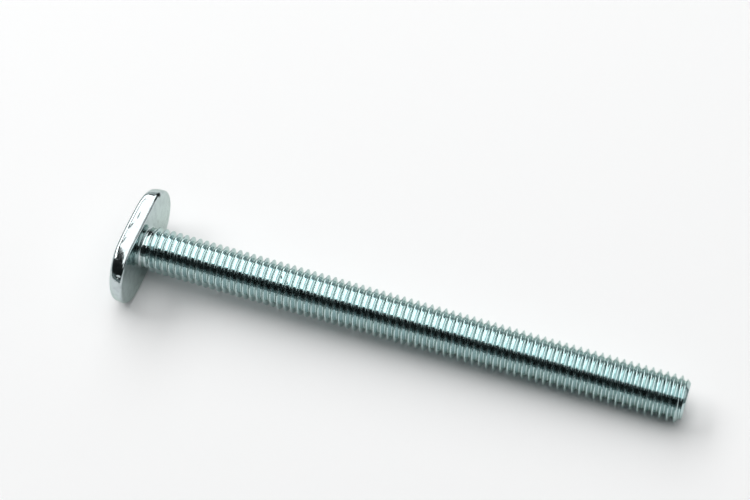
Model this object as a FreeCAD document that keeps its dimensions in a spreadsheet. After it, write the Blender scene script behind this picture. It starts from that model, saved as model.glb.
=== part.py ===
import FreeCAD, Part
import math
import os
import Sketcher

# T slot bolt, M8, 100 mm long over all: a flat hammer head with full round ends on a long
# threaded shank. It is one forged piece, drawn with its axis along X, the seat under the head
# at the origin and the head on the minus X side. It is then laid down as it comes to rest, on
# one long side of the head and the tip. The thread is fine detail, so the shank has its outer
# diameter.

# Driving dimensions in millimetres
SIZES = (
    ("head_length", 22.5),
    ("head_width", 12.6),
    ("head_thickness", 3.0),
    ("crown_drop", 0.6),
    ("top_edge_radius", 0.6),
    ("seat_edge_radius", 0.45),
    ("neck_diameter", 7.2),
    ("neck_length", 1.0),
    ("neck_fillet", 0.4),
    ("runout_length", 0.5),
    ("thread_diameter", 8.0),
    ("shank_length", 97.0),
    ("tip_diameter", 6.2),
    ("tip_length", 1.1),
    ("cut_overrun", 1.0),
)

# The crown is one long arc over the top of the head, lower by crown_drop at the two ends
CROWN_RADIUS = (
    "((Sizes.head_length / 2) ^ 2 + Sizes.crown_drop ^ 2) / (2 * Sizes.crown_drop)"
)
# Lying down, the side of the head and the start of the tip's bevel touch one level surface
REST_TILT = (
    "atan((Sizes.head_width - Sizes.thread_diameter) / 2"
    " / (Sizes.shank_length - Sizes.tip_length))"
)

# Points of a sketch element, and the sketch's own origin and horizontal axis
START, END, CENTRE = 1, 2, 3
ORIGIN = (-1, 1)
X_AXIS = -1

# Edges this near the seat plane lie in it
NEAR = 0.001

NODE = "t_slot_bolt"

doc = FreeCAD.newDocument(NODE)


def make_sheet():
    sheet = doc.addObject("Spreadsheet::Sheet", "Sizes")
    for row, (name, value) in enumerate(SIZES, start=1):
        sheet.set(f"A{row}", name)
        sheet.set(f"B{row}", str(value))
        sheet.setAlias(f"B{row}", name)
    doc.recompute()


def origin_feature(body, role):
    return next(f for f in body.Origin.OriginFeatures if f.Role == role)


def value_of(expression):
    return float(doc.Sizes.evalExpression(expression))


# Sketch helpers: geometry is drawn at its real place, and named sizes then bind it to the sheet
def new_sketch(body, name, plane):
    sketch = body.newObject("Sketcher::SketchObject", name)
    sketch.AttachmentSupport = [(origin_feature(body, plane), "")]
    sketch.MapMode = "FlatFace"
    return sketch


def point(x, y):
    return FreeCAD.Vector(x, y, 0)


def add_line(sketch, start, end):
    return sketch.addGeometry(Part.LineSegment(point(*start), point(*end)), False)


def add_arc(sketch, centre, radius, start_angle, end_angle):
    circle = Part.Circle(point(*centre), FreeCAD.Vector(0, 0, 1), radius)
    return sketch.addGeometry(Part.ArcOfCircle(circle, start_angle, end_angle), False)


def add_rules(sketch, kind, *places):
    for place in places:
        sketch.addConstraint(Sketcher.Constraint(kind, *place))


def add_size(sketch, name, expression, kind, *place):
    rule = Sketcher.Constraint(kind, *place, value_of(expression))
    index = sketch.addConstraint(rule)
    sketch.renameConstraint(index, name)
    sketch.setExpression(f"Constraints.{name}", expression)


# Outline of the head seen along the bolt: two half circles joined by straight sides
def draw_head_outline(body):
    sketch = new_sketch(body, "HeadOutline", "YZ_Plane")
    radius = value_of("Sizes.head_width / 2")
    centre = value_of("(Sizes.head_length - Sizes.head_width) / 2")
    right = add_arc(sketch, (centre, 0), radius, -math.pi / 2, math.pi / 2)
    left = add_arc(sketch, (-centre, 0), radius, math.pi / 2, 3 * math.pi / 2)
    upper = add_line(sketch, (centre, radius), (-centre, radius))
    lower = add_line(sketch, (-centre, -radius), (centre, -radius))
    add_rules(
        sketch,
        "Tangent",
        (right, END, upper, START),
        (upper, END, left, START),
        (left, END, lower, START),
        (lower, END, right, START),
    )
    add_rules(sketch, "Equal", (right, left))
    add_rules(sketch, "Symmetric", (right, CENTRE, left, CENTRE, *ORIGIN))
    add_rules(sketch, "PointOnObject", (right, CENTRE, X_AXIS))
    add_size(sketch, "end_radius", "Sizes.head_width / 2", "Radius", right)
    add_size(
        sketch,
        "centre_distance",
        "Sizes.head_length - Sizes.head_width",
        "DistanceX",
        left,
        CENTRE,
        right,
        CENTRE,
    )
    return sketch


# Side view of what is cut off above the crown: a sliver between the long arc and a flat line
def draw_crown_cut(body):
    sketch = new_sketch(body, "CrownCut", "XY_Plane")
    radius = value_of(CROWN_RADIUS)
    centre = radius - value_of("Sizes.head_thickness")
    reach = value_of("Sizes.head_length / 2 + Sizes.cut_overrun")
    outside = -value_of("Sizes.head_thickness + Sizes.cut_overrun")
    half_angle = math.asin(reach / radius)
    edge = centre - radius * math.cos(half_angle)
    crown = add_arc(sketch, (centre, 0), radius, math.pi - half_angle, math.pi + half_angle)
    lower = add_line(sketch, (edge, -reach), (outside, -reach))
    back = add_line(sketch, (outside, -reach), (outside, reach))
    upper = add_line(sketch, (outside, reach), (edge, reach))
    add_rules(
        sketch,
        "Coincident",
        (crown, END, lower, START),
        (lower, END, back, START),
        (back, END, upper, START),
        (upper, END, crown, START),
    )
    add_rules(sketch, "Horizontal", (lower,), (upper,))
    add_rules(sketch, "Vertical", (back,), (crown, START, crown, END))
    add_rules(sketch, "PointOnObject", (crown, CENTRE, X_AXIS))
    add_size(sketch, "crown_radius", CROWN_RADIUS, "Radius", crown)
    add_size(
        sketch,
        "crown_centre",
        f"{CROWN_RADIUS} - Sizes.head_thickness",
        "DistanceX",
        *ORIGIN,
        crown,
        CENTRE,
    )
    add_size(
        sketch,
        "cut_width",
        "Sizes.head_length + 2 * Sizes.cut_overrun",
        "DistanceY",
        crown,
        END,
        crown,
        START,
    )
    add_size(
        sketch,
        "cut_depth",
        "Sizes.head_thickness + Sizes.cut_overrun",
        "DistanceX",
        back,
        START,
        *ORIGIN,
    )
    return sketch


# Half section of the shank: fillet under the head, plain neck, run-out, thread stock and tip
def draw_shank_profile(body):
    sketch = new_sketch(body, "ShankProfile", "XY_Plane")
    neck = value_of("Sizes.neck_diameter / 2")
    fillet = value_of("Sizes.neck_fillet")
    neck_end = value_of("Sizes.neck_length")
    thread = value_of("Sizes.thread_diameter / 2")
    thread_start = neck_end + value_of("Sizes.runout_length")
    end = value_of("Sizes.shank_length")
    bevel_start = end - value_of("Sizes.tip_length")
    tip = value_of("Sizes.tip_diameter / 2")
    corners = (
        (fillet, neck),
        (neck_end, neck),
        (thread_start, thread),
        (bevel_start, thread),
        (end, tip),
        (end, 0),
        (0, 0),
        (0, neck + fillet),
    )
    bend = add_arc(sketch, (fillet, neck + fillet), fillet, math.pi, 3 * math.pi / 2)
    lines = [add_line(sketch, *ends) for ends in zip(corners, corners[1:])]
    plain, runout, outside, bevel, face, axis, seat = lines
    add_rules(sketch, "Tangent", (seat, END, bend, START), (bend, END, plain, START))
    add_rules(sketch, "Coincident", *((a, END, b, START) for a, b in zip(lines, lines[1:])))
    add_rules(sketch, "Coincident", (seat, START, *ORIGIN))
    add_rules(sketch, "Horizontal", (plain,), (outside,), (axis,))
    add_rules(sketch, "Vertical", (face,), (seat,))
    add_size(sketch, "fillet", "Sizes.neck_fillet", "Radius", bend)
    add_size(
        sketch, "neck_radius", "Sizes.neck_diameter / 2", "DistanceY", *ORIGIN, plain, START
    )
    add_size(sketch, "neck_end", "Sizes.neck_length", "DistanceX", *ORIGIN, plain, END)
    add_size(sketch, "runout", "Sizes.runout_length", "DistanceX", runout, START, runout, END)
    add_size(
        sketch, "thread_radius", "Sizes.thread_diameter / 2", "DistanceY", *ORIGIN, outside, START
    )
    add_size(sketch, "length", "Sizes.shank_length", "DistanceX", *ORIGIN, face, END)
    add_size(sketch, "bevel_length", "Sizes.tip_length", "DistanceX", bevel, START, bevel, END)
    add_size(sketch, "tip_radius", "Sizes.tip_diameter / 2", "DistanceY", *ORIGIN, face, START)
    return sketch


# Rounds every edge of the last feature that lies between two places along the bolt
def round_edges(body, name, base, lowest, highest, radius):
    doc.recompute()
    edges = []
    for number, edge in enumerate(base.Shape.Edges, start=1):
        box = edge.BoundBox
        if box.XMin > lowest and box.XMax < highest:
            edges.append(f"Edge{number}")
    fillet = body.newObject("PartDesign::Fillet", name)
    fillet.Base = (base, edges)
    fillet.setExpression("Radius", radius)
    return fillet


# Head plate: straight prism, crowned top, then a soft edge above and a small one at the seat
def add_head(body):
    plate = body.newObject("PartDesign::Pad", "HeadPlate")
    plate.Profile = draw_head_outline(body)
    plate.Reversed = True
    plate.setExpression("Length", "Sizes.head_thickness")
    crown = body.newObject("PartDesign::Pocket", "Crown")
    crown.Profile = draw_crown_cut(body)
    crown.Type = "ThroughAll"
    crown.SideType = "Symmetric"
    middle = -value_of("Sizes.head_thickness / 2")
    top = round_edges(body, "TopEdge", crown, -math.inf, middle, "Sizes.top_edge_radius")
    round_edges(body, "SeatEdge", top, -NEAR, NEAR, "Sizes.seat_edge_radius")


def add_shank(body):
    shank = body.newObject("PartDesign::Revolution", "Shank")
    shank.Profile = draw_shank_profile(body)
    shank.ReferenceAxis = (origin_feature(body, "X_Axis"), [""])
    shank.Angle = 360.0


# Tips the finished bolt about its seat until it lies on the head's side and the tip
def lay_down(body):
    level = FreeCAD.Rotation(FreeCAD.Vector(0, 1, 0), value_of(REST_TILT))
    body.Placement = FreeCAD.Placement(FreeCAD.Vector(0, 0, 0), level)
    body.setExpression("Placement.Rotation.Angle", REST_TILT)


def make_bolt():
    body = doc.addObject("PartDesign::Body", "TSlotBolt")
    body.Label = NODE
    add_head(body)
    add_shank(body)
    lay_down(body)
    doc.recompute()
    return body


# Every feature has to be sound, and the bolt one solid, before anything is written
def check(body):
    for item in doc.Objects:
        if {"Invalid", "Error"} & set(item.State):
            raise RuntimeError(f"{item.Label} failed: {item.State}")
    shape = body.Shape
    if shape.isNull() or not shape.isValid() or len(shape.Solids) != 1:
        raise RuntimeError(f"{body.Label} is not one valid solid")


make_sheet()
bolt = make_bolt()
check(bolt)
os.makedirs("parts", exist_ok=True)
bolt.Shape.exportStep(f"parts/{bolt.Label}.step")
print(f"{bolt.Label}: volume {bolt.Shape.Volume:.1f} mm3, faces {len(bolt.Shape.Faces)}")
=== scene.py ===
import math

import bmesh
import bpy
from mathutils import Matrix, Vector


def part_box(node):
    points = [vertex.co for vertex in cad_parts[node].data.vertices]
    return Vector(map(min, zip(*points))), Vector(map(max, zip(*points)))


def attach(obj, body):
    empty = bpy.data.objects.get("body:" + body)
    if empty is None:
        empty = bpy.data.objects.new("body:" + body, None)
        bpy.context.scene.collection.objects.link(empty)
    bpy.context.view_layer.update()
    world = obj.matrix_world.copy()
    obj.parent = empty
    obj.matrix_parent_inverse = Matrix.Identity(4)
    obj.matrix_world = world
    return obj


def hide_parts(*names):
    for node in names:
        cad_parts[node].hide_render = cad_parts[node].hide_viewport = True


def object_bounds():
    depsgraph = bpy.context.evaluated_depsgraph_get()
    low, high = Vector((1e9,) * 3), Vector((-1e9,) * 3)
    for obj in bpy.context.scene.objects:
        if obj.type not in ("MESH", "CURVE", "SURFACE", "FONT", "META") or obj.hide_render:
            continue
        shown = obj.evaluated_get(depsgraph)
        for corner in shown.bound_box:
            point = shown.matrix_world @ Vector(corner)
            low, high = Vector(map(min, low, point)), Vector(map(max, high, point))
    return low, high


# T slot bolt, M8, 100 mm long over all, lying on a pale floor. The bolt is modelled in millimetres
# along its own axis: the seat under the head is at x = 0, the head on the minus X side, its long
# direction Y. It is then tilted to the way it rests and brought to metres.

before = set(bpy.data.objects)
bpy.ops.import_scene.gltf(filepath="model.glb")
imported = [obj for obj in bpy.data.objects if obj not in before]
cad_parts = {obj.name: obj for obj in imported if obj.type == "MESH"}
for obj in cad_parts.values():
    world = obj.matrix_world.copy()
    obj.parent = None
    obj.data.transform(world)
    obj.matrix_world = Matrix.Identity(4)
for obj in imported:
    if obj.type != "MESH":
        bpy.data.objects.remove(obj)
cad_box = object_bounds()

NODE = "t_slot_bolt"
SLOT = "zinc_plated_steel"
MM = 0.001

# The head
LOW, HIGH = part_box(NODE)
HEAD_LENGTH = (HIGH.y - LOW.y) / MM
HEAD_WIDTH = 12.6
HEAD_THICKNESS = 3.0
CROWN_DROP = 0.6
TOP_EDGE_RADIUS = 0.6
SEAT_EDGE_RADIUS = 0.45
END_BULGE = 0.4
BULGE_HEIGHT = 0.7
CROWN_RADIUS = ((HEAD_LENGTH / 2) ** 2 + CROWN_DROP**2) / (2 * CROWN_DROP)
END_RADIUS = HEAD_WIDTH / 2
STRAIGHT = HEAD_LENGTH / 2 - END_RADIUS

# The shank and its thread
NECK_RADIUS = 3.6
NECK_LENGTH = 1.0
NECK_FILLET = 0.4
RUNOUT_LENGTH = 0.5
THREAD_RADIUS = 4.0
SHANK_LENGTH = 97.0
PITCH = 1.25
FLANK_SLOPE = math.sqrt(3)
CREST_HALF_FLAT = PITCH / 16
CREST_ROUNDING = 0.06
ROOT_RADIUS = 0.144 * PITCH
TIP_RADIUS = 3.1
TIP_LENGTH = 1.1
TIP_ROUNDING = 0.15
TURNS = math.ceil((SHANK_LENGTH + PITCH) / PITCH)
# Where the first crest lies, and how far the thread's rows keep from the end of the fillet
THREAD_PHASE = 0.24
ROW_CLEARANCE = 0.02

# How finely the surfaces are divided
SHANK_COLUMNS = 56
ARC_COLUMNS = 44
STRAIGHT_COLUMNS = 36
CORNER_STEPS = 4
WALL_STEPS = 8
TOP_RINGS = 14
CREST_STEPS = 2
ROOT_STEPS = 4
FLANK_SHARES = (0.08, 0.92)
MERGE_DISTANCE = 1e-4
SHARP_ANGLE = 40

# The thread's flanks stand this many degrees off a plane square to the axis
FLANK_ANGLE = 30

# How far the tip cutter reaches outwards, back along the thread and beyond the tip
CUTTER_WIDTH = 2
CUTTER_BACK = 1
CUTTER_AHEAD = 5

REST_TILT = math.atan((HEAD_WIDTH / 2 - THREAD_RADIUS) / (SHANK_LENGTH - TIP_LENGTH))
TO_ROW = Matrix.Rotation(REST_TILT, 4, "Y") @ Matrix.Scale(MM, 4)


def smooth(value):
    """Eases from 0 to 1."""
    value = min(max(value, 0.0), 1.0)
    return value * value * (3 - 2 * value)


def angles(first, last, steps):
    """Evenly spaced angles in radians, from degrees, both ends included."""
    return [math.radians(first + (last - first) * i / steps) for i in range(steps + 1)]


# The head: rings that follow its outline, from the middle of its top to its underside
def bulge(x):
    """How far the round ends stand back at x from where they are longest."""
    return END_BULGE * ((x + BULGE_HEIGHT) / (HEAD_THICKNESS - BULGE_HEIGHT)) ** 2


def outline(inset, x):
    """The stadium outline at x, as (y, z) points, moved inwards by inset."""
    radius = END_RADIUS - inset
    straight = STRAIGHT - bulge(x)
    points = []
    for side in (1, -1):
        for i in range(ARC_COLUMNS):
            turn = math.radians(-90 + 180 * i / ARC_COLUMNS)
            y = straight + radius * math.cos(turn)
            points.append((side * y, side * radius * math.sin(turn)))
        for i in range(STRAIGHT_COLUMNS):
            share = 1 - 2 * i / STRAIGHT_COLUMNS
            points.append((side * straight * share, side * radius))
    return points


def crown(y):
    """The height of the crowned top at y, as an x."""
    return -HEAD_THICKNESS + CROWN_RADIUS - math.sqrt(CROWN_RADIUS**2 - y * y)


def head_rings():
    """Points of each ring, from the line where the top's rings meet to the seat's edge."""
    rings = []
    for i in range(TOP_RINGS):
        inset = END_RADIUS + (TOP_EDGE_RADIUS - END_RADIUS) * i / TOP_RINGS
        rings.append([(crown(y), y, z) for y, z in outline(inset, -HEAD_THICKNESS)])
    for turn in angles(90, 0, CORNER_STEPS):
        inset = TOP_EDGE_RADIUS * (1 - math.cos(turn))
        drop = TOP_EDGE_RADIUS * (1 - math.sin(turn))
        rings.append([
            (crown(y) + drop, y, z) for y, z in outline(inset, drop - HEAD_THICKNESS)
        ])
    for i in range(1, WALL_STEPS + 1):
        share = i / WALL_STEPS
        height = (TOP_EDGE_RADIUS - HEAD_THICKNESS) * (1 - share) - SEAT_EDGE_RADIUS * share
        rings.append([
            ((crown(y) + TOP_EDGE_RADIUS) * (1 - share) - SEAT_EDGE_RADIUS * share, y, z)
            for y, z in outline(0, height)
        ])
    for turn in angles(0, 90, CORNER_STEPS)[1:]:
        inset = SEAT_EDGE_RADIUS * (1 - math.cos(turn))
        x = -SEAT_EDGE_RADIUS * (1 - math.sin(turn))
        rings.append([(x, y, z) for y, z in outline(inset, x)])
    return rings


# The shank: the neck, then a grid whose rows follow the helix of the thread
def circle(x, radius):
    """Points round the bolt's axis at x."""
    step = 2 * math.pi / SHANK_COLUMNS
    return [
        (x, radius * math.cos(step * i), radius * math.sin(step * i)) for i in range(SHANK_COLUMNS)
    ]


def thread_rows():
    """One pitch of the thread's section from crest to crest, as (x, radius)."""
    flat = CREST_HALF_FLAT - CREST_ROUNDING * math.tan(math.radians(FLANK_ANGLE))
    crest = [
        (
            flat + CREST_ROUNDING * math.sin(turn),
            THREAD_RADIUS - CREST_ROUNDING * (1 - math.cos(turn)),
        )
        for turn in angles(0, 90 - FLANK_ANGLE, CREST_STEPS)
    ]
    centre = THREAD_RADIUS + 2 * ROOT_RADIUS - (PITCH / 2 - CREST_HALF_FLAT) * FLANK_SLOPE
    root = [
        (PITCH / 2 + ROOT_RADIUS * math.sin(turn), centre - ROOT_RADIUS * math.cos(turn))
        for turn in angles(FLANK_ANGLE - 90, 90 - FLANK_ANGLE, ROOT_STEPS)
    ]
    side = crest + [
        tuple(top + (foot - top) * share for top, foot in zip(crest[-1], root[0]))
        for share in FLANK_SHARES
    ]
    return side + root + [(PITCH - x, radius) for x, radius in reversed(side)]


def threaded(x, radius):
    """The radius at x, where the thread rises out of the neck."""
    return NECK_RADIUS + (radius - NECK_RADIUS) * smooth((x - NECK_LENGTH) / RUNOUT_LENGTH)


def add_ring(bm, points):
    return [bm.verts.new(p) for p in points]


def join_rings(bm, first, second):
    count = len(first)
    for i in range(count):
        j = (i + 1) % count
        bm.faces.new((first[i], first[j], second[j], second[i]))


def add_thread(bm, neck):
    """The thread from the ring neck to beyond the tip, closed there.

    Each row follows the helix, so going once round leads from a row to the same row one turn on.
    """
    rows = thread_rows()
    count = len(rows)
    first_x = neck[0].co.x + ROW_CLEARANCE
    verts, starts = {}, []
    for i in range(SHANK_COLUMNS):
        share = i / SHANK_COLUMNS
        angle = 2 * math.pi * share
        start = None
        for u in range(-count, count * TURNS):
            offset, radius = rows[u % count]
            x = THREAD_PHASE + offset + PITCH * (u // count + share)
            if x < first_x:
                continue
            start = u if start is None else start
            r = threaded(x, radius)
            verts[u, i] = bm.verts.new((x, r * math.cos(angle), r * math.sin(angle)))
        starts.append(start)
    starts.append(starts[0] - count)
    for u in range(starts[-1], count * TURNS):
        verts[u, SHANK_COLUMNS] = verts.get((u + count, 0))
    neck = neck + neck[:1]
    for i in range(SHANK_COLUMNS):
        left, right = starts[i], starts[i + 1]
        fan = [verts[u, i + 1] for u in range(right, left + 1)]
        bm.faces.new([neck[i], neck[i + 1], *fan, verts[left, i]])
        for u in range(left, count * TURNS - 1):
            corners = (verts[u, i], verts[u, i + 1], verts[u + 1, i + 1], verts[u + 1, i])
            if None not in corners:
                bm.faces.new(corners)


def make_blank():
    """The whole bolt, with its thread running on past the tip."""
    bm = bmesh.new()
    rings = [add_ring(bm, points) for points in head_rings()]
    for first, second in zip(rings, rings[1:]):
        join_rings(bm, first, second)
    fillet = [
        circle(NECK_FILLET * (1 - math.cos(turn)), NECK_RADIUS + NECK_FILLET * (1 - math.sin(turn)))
        for turn in angles(0, 90, CORNER_STEPS)
    ]
    neck = [add_ring(bm, points) for points in fillet]
    for first, second in zip(neck, neck[1:]):
        join_rings(bm, first, second)
    add_thread(bm, neck[-1])
    bmesh.ops.remove_doubles(bm, verts=bm.verts, dist=MERGE_DISTANCE)
    edges = [e for e in bm.edges if e.is_boundary]
    seat = [e for e in edges if e.verts[0].co.x < NECK_FILLET]
    bmesh.ops.bridge_loops(bm, edges=seat)
    bmesh.ops.holes_fill(bm, edges=[e for e in edges if e not in seat])
    bmesh.ops.recalc_face_normals(bm, faces=bm.faces)
    if bm.calc_volume(signed=True) < 0:
        bmesh.ops.reverse_faces(bm, faces=bm.faces)
    return bm


def mesh_object(name, bm):
    mesh = bpy.data.meshes.new(name)
    bm.to_mesh(mesh)
    bm.free()
    piece = bpy.data.objects.new(name, mesh)
    bpy.context.scene.collection.objects.link(piece)
    return piece


def make_tip_cutter():
    """What is cut away round the bevelled tip and beyond its flat end."""
    slope = (THREAD_RADIUS - TIP_RADIUS) / TIP_LENGTH
    wide = THREAD_RADIUS + CUTTER_WIDTH
    far = SHANK_LENGTH + CUTTER_AHEAD
    back = SHANK_LENGTH - TIP_LENGTH - CUTTER_BACK
    profile = [(back, wide), (back, TIP_RADIUS + slope * (SHANK_LENGTH - back))]
    lean = math.degrees(math.atan(slope))
    reach = TIP_ROUNDING * math.tan(math.radians(90 - lean) / 2)
    for turn in angles(90 - lean, 0, CORNER_STEPS):
        x = SHANK_LENGTH - TIP_ROUNDING * (1 - math.cos(turn))
        profile.append((x, TIP_RADIUS - reach + TIP_ROUNDING * math.sin(turn)))
    profile += [(SHANK_LENGTH, 0), (far, 0), (far, wide)]
    bm = bmesh.new()
    rings = []
    for x, radius in profile:
        if radius:
            rings.append(add_ring(bm, circle(x, radius)))
        else:
            rings.append([bm.verts.new((x, 0, 0))] * SHANK_COLUMNS)
    for first, second in zip(rings, rings[1:] + rings[:1]):
        for i in range(SHANK_COLUMNS):
            j = (i + 1) % SHANK_COLUMNS
            corners = [first[i], first[j], second[j], second[i]]
            corners = [v for k, v in enumerate(corners) if v not in corners[:k]]
            if len(corners) > 2:
                bm.faces.new(corners)
    bmesh.ops.recalc_face_normals(bm, faces=bm.faces)
    return mesh_object("tip_cutter", bm)


def make_bolt():
    """The finished bolt, cut off at the tip, tilted and brought to metres."""
    bolt = mesh_object("bolt_surface", make_blank())
    cutter = make_tip_cutter()
    cut = bolt.modifiers.new("tip", "BOOLEAN")
    cut.operation = "DIFFERENCE"
    cut.solver = "MANIFOLD"
    cut.object = cutter
    bpy.context.view_layer.update()
    cut_bolt = bolt.evaluated_get(bpy.context.evaluated_depsgraph_get())
    mesh = bpy.data.meshes.new_from_object(cut_bolt)
    bolt.modifiers.clear()
    bolt.data = mesh
    bpy.data.objects.remove(cutter)
    mesh.transform(TO_ROW)
    mesh.shade_smooth()
    mesh.set_sharp_from_angle(angle=math.radians(SHARP_ANGLE))
    mesh.materials.clear()
    mesh.materials.append(zinc_material())
    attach(bolt, "root")
    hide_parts(NODE)
    return bolt


# The finish: bright zinc, teal on the shank and greyer on the head, with painted shade down in the
# thread's roots.
# Positions are in millimetres along the bolt's own axes, noise scales are per millimetre and
# bump heights are in metres. A fade is two values and what they turn into.
METAL_COLOR = (0.49, 0.63, 0.65, 1)
METAL_WARM = (0.53, 0.63, 0.62, 1)
DRIFT_SCALE = 0.25
DRIFT_DETAIL = 3
HEAD_COLOR = (0.56, 0.63, 0.64, 1)
HEAD_FADE = ((0.0, 1.5), (1, 0))
EDGE_TINT = (0.74, 0.81, 0.76, 1)

MOTTLE_COLOR = (0.31, 0.36, 0.38, 1)
MOTTLE_SCALE = 0.9
MOTTLE_DETAIL = 4
MOTTLE_FADE = ((0.47, 0.68), (0.0, 0.5))
MOTTLE_HEAD_FADE = ((0.0, 1.0), (0.75, 0.2))

# Painted shade: the colour is darkened in the thread's roots, below a radius of 3.6 mm, along the
# threaded part only
ROOT_PAINTED_SHADE = 0.93
ROOT_PAINTED_SHADE_FADE = ((3.25, 3.6), (1 - ROOT_PAINTED_SHADE, 0))
PAINTED_SHADE_SPANS = (((1.0, 1.5), (0, 1)), ((95.4, 95.9), (1, 0)))

GLOSS_SCALE = 1.2
GLOSS_DETAIL = 4
GLOSS_FADE = ((0.3, 0.7), (0.06, 0.18))

# Soft waves all over, a fine grain, and forging marks towards the two ends of the head
BUMP_DETAIL = 2
WAVE_SCALE = 0.55
WAVE_HEIGHT = 0.02 * MM
GRAIN_SCALE = 9.0
GRAIN_HEIGHT = 0.0006 * MM
FORGED_SCALE = 1.3
FORGED_DETAIL = 3
FORGED_HEIGHT = 0.05 * MM
FORGED_FADE = ((6.0, 9.5), (0.1, 1.0))

# A small painted dark reflection at the far end of the head: its middle, turn and half sizes as for
# a dent
PAINTED_REFLECTION_COLOR = (0.02, 0.025, 0.025, 1)
PAINTED_REFLECTION_SPOT = ((-0.28, 7.5, 5.8), 0, (0.5, 0.75, 0.85))
PAINTED_REFLECTION_FADE = ((0.5, 1.0), (1, 0))

# Small dents, each with its middle, its turn about Z in degrees and its half sizes
DENT_DEPTH = 0.16 * MM
DENT_FADE = ((0.2, 1.0), (-1, 0))
DENTS = (
    ((-2.02, -0.55, 6.3), 15, (0.16, 1.1, 0.5)),
    ((-1.58, 1.95, 6.3), 0, (0.1, 0.9, 0.4)),
    ((-2.0, -3.9, 6.3), 11, (0.1, 1.1, 0.3)),
    ((-0.7, -9.85, 3.95), 0, (0.45, 0.5, 0.36)),
    ((25.6, -0.75, 3.9), 20, (0.5, 0.2, 0.4)),
    ((26.9, -1.45, 3.7), 20, (0.5, 0.2, 0.4)),
)


def zinc_material():
    material = bpy.data.materials.new(SLOT)
    material.use_nodes = True
    tree = material.node_tree

    def add(kind, inputs, output=0, **settings):
        """Adds a node with its inputs, by number, and gives back one of its outputs."""
        node = tree.nodes.new(kind)
        for name, value in settings.items():
            setattr(node, name, value)
        for number, value in inputs.items():
            if isinstance(value, bpy.types.NodeSocket):
                tree.links.new(value, node.inputs[number])
            else:
                node.inputs[number].default_value = value
        return node.outputs[output]

    def noise(scale, detail):
        return add("ShaderNodeTexNoise", {0: place, 2: scale, 3: detail})

    def fade(value, ends, shares):
        inputs = {0: value, 1: ends[0], 2: ends[1], 3: shares[0], 4: shares[1]}
        return add("ShaderNodeMapRange", inputs)

    def math_node(operation, *values):
        return add("ShaderNodeMath", dict(enumerate(values)), operation=operation)

    def length(vector):
        return add("ShaderNodeVectorMath", {0: vector}, 1, operation="LENGTH")

    def position_along(direction):
        inputs = {0: place, 1: direction}
        return add("ShaderNodeVectorMath", inputs, 1, operation="DOT_PRODUCT")

    def mix(share, first, second):
        inputs = {0: share, 6: first, 7: second}
        return add("ShaderNodeMix", inputs, 2, data_type="RGBA")

    def bump(height, pattern, below=None):
        """Raises the surface by height times the pattern, on top of the bumps below."""
        inputs = {0: 1, 1: height, 3: pattern}
        if below is not None:
            inputs[4] = below
        return add("ShaderNodeBump", inputs)

    def distance_from(middle, turn, sizes):
        """The distance from the middle of a turned spot, where 1 is on its surface."""
        turned = (0, 0, math.radians(-turn))
        inputs = {0: place, 1: middle, 2: turned, 3: sizes}
        return length(add("ShaderNodeMapping", inputs, vector_type="TEXTURE"))

    row = add("ShaderNodeTexCoord", {}, 3)
    to_bolt = {0: row, 2: (0, -REST_TILT, 0), 3: (1 / MM, 1 / MM, 1 / MM)}
    place = add("ShaderNodeMapping", to_bolt)
    along = position_along((1, 0, 0))
    across = add("ShaderNodeVectorMath", {0: place, 1: (0, 1, 1)}, operation="MULTIPLY")
    # Painted shade in the thread's roots, kept off the neck and the tip
    root_painted_shade = fade(length(across), *ROOT_PAINTED_SHADE_FADE)
    for shade_span in PAINTED_SHADE_SPANS:
        root_painted_shade = math_node("MULTIPLY", root_painted_shade, fade(along, *shade_span))
    painted_shade_scale = math_node("SUBTRACT", 1, root_painted_shade)

    color = mix(noise(DRIFT_SCALE, DRIFT_DETAIL), METAL_COLOR, METAL_WARM)
    color = mix(fade(along, *HEAD_FADE), color, HEAD_COLOR)
    mottle = fade(noise(MOTTLE_SCALE, MOTTLE_DETAIL), *MOTTLE_FADE)
    mottle = math_node("MULTIPLY", mottle, fade(along, *MOTTLE_HEAD_FADE))
    color = mix(mottle, color, MOTTLE_COLOR)
    # Painted reflection: a near-black spot on the far end of the head
    color = mix(fade(distance_from(*PAINTED_REFLECTION_SPOT), *PAINTED_REFLECTION_FADE), color, PAINTED_REFLECTION_COLOR)
    color = add("ShaderNodeVectorMath", {0: color, 3: painted_shade_scale}, operation="SCALE")
    gloss = fade(noise(GLOSS_SCALE, GLOSS_DETAIL), *GLOSS_FADE)

    waves = bump(WAVE_HEIGHT, noise(WAVE_SCALE, BUMP_DETAIL))
    grain = bump(GRAIN_HEIGHT, noise(GRAIN_SCALE, BUMP_DETAIL), waves)
    far_out = math_node("ABSOLUTE", position_along((0, 1, 0)))
    forging = noise(FORGED_SCALE, FORGED_DETAIL)
    forging = math_node("MULTIPLY", forging, fade(far_out, *FORGED_FADE))
    forged = bump(FORGED_HEIGHT, forging, grain)
    dented = 0.0
    for dent in DENTS:
        depth = fade(distance_from(*dent), *DENT_FADE)
        dented = math_node("ADD", dented, depth)
    dents = bump(DENT_DEPTH, dented, forged)

    shader = tree.nodes["Principled BSDF"]
    shader.inputs["Metallic"].default_value = 1.0
    shader.inputs["Specular Tint"].default_value = EDGE_TINT
    tree.links.new(color, shader.inputs["Base Color"])
    tree.links.new(gloss, shader.inputs["Roughness"])
    tree.links.new(dents, shader.inputs["Normal"])
    return material


# The stage
CAMERA_PLACE = Vector((108.35, -171.99, 277.27)) * MM
CAMERA_AIM = Vector((39.81, 7.87, 5.78)) * MM
CAMERA_ROLL = -2.42
CAMERA_LENS = 93.43
CAMERA_SENSOR = 36.0
CAMERA_NEAR = 0.01


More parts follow.
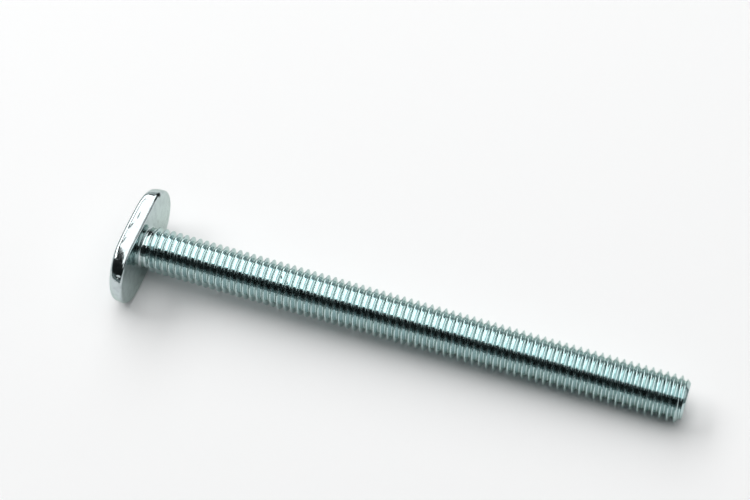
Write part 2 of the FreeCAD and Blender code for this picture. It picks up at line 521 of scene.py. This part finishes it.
def make_camera():
    data = bpy.data.cameras.new("camera")
    data.sensor_width = CAMERA_SENSOR
    data.lens = CAMERA_LENS
    data.clip_start = CAMERA_NEAR
    camera = bpy.data.objects.new("camera", data)
    bpy.context.scene.collection.objects.link(camera)
    facing = (CAMERA_AIM - CAMERA_PLACE).to_track_quat("-Z", "Y").to_matrix().to_4x4()
    roll = Matrix.Rotation(math.radians(CAMERA_ROLL), 4, "Z")
    camera.matrix_world = Matrix.Translation(CAMERA_PLACE) @ facing @ roll
    bpy.context.scene.camera = camera


FLOOR_RADIUS = 8.0
FLOOR_SIDES = 96
FLOOR_COLOR = (0.95, 0.95, 0.95, 1)
FLOOR_ROUGHNESS = 0.9


def make_floor():
    bm = bmesh.new()
    bmesh.ops.create_circle(bm, cap_ends=True, segments=FLOOR_SIDES, radius=FLOOR_RADIUS)
    bmesh.ops.translate(bm, verts=bm.verts, vec=(0, 0, cad_box[0].z))
    floor = mesh_object("floor", bm)
    material = bpy.data.materials.new("pale_floor")
    material.use_nodes = True
    shader = material.node_tree.nodes["Principled BSDF"]
    shader.inputs["Base Color"].default_value = FLOOR_COLOR
    shader.inputs["Roughness"].default_value = FLOOR_ROUGHNESS
    shader.inputs["Specular IOR Level"].default_value = 0.0
    floor.data.materials.append(material)


# Each lamp's name, place in metres, Euler angles in degrees, size in metres and radiance
SOFTBOXES = (
    ("top_softbox", (-0.24, 1.26, 1.0), (0, 0, 11), (0.58, 3.5), 2.1),
    ("left_softbox", (-1.0, 0.98, 1.0), (0, 0, 0), (0.8, 2.56), 4.2),
    ("right_softbox", (0.65, 0.15, 1.0), (0, 0, 0), (0.6, 1.8), 1.1),
    ("end_softbox", (1.2, 0.6, 0.45), (0, 90, 0), (0.5, 1.2), 0.5),
    ("far_softbox", (0.1, 3.0, 0.55), (-90, 0, 0), (3.8, 0.9), 0.34),
)


def make_softbox(name, place, turn, size, radiance):
    """A rectangular lamp with the same radiance all over, which the camera doesn't see."""
    data = bpy.data.lights.new(name, "AREA")
    data.shape = "RECTANGLE"
    data.size, data.size_y = size
    data.energy = radiance * math.pi * size[0] * size[1]
    lamp = bpy.data.objects.new(name, data)
    bpy.context.scene.collection.objects.link(lamp)
    lamp.location = place
    lamp.rotation_euler = [math.radians(angle) for angle in turn]
    lamp.visible_camera = False


# The world is pale near the horizon and dark above: places on the ramp and their colours
WORLD_STOPS = ((0.22, (0.18, 0.215, 0.215, 1)), (0.29, (0.01, 0.012, 0.012, 1)))


def make_world():
    world = bpy.data.worlds.new("studio")
    bpy.context.scene.world = world
    world.use_nodes = True
    nodes, links = world.node_tree.nodes, world.node_tree.links
    where = nodes.new("ShaderNodeTexCoord")
    split = nodes.new("ShaderNodeSeparateXYZ")
    ramp = nodes.new("ShaderNodeValToRGB")
    links.new(where.outputs["Generated"], split.inputs[0])
    links.new(split.outputs["Z"], ramp.inputs[0])
    links.new(ramp.outputs["Color"], nodes["Background"].inputs["Color"])
    for stop, (position, color) in zip(ramp.color_ramp.elements, WORLD_STOPS):
        stop.position = position
        stop.color = color


make_bolt()
make_floor()
make_camera()
for softbox in SOFTBOXES:
    make_softbox(*softbox)
make_world()
bpy.context.scene.view_settings.view_transform = "Standard"
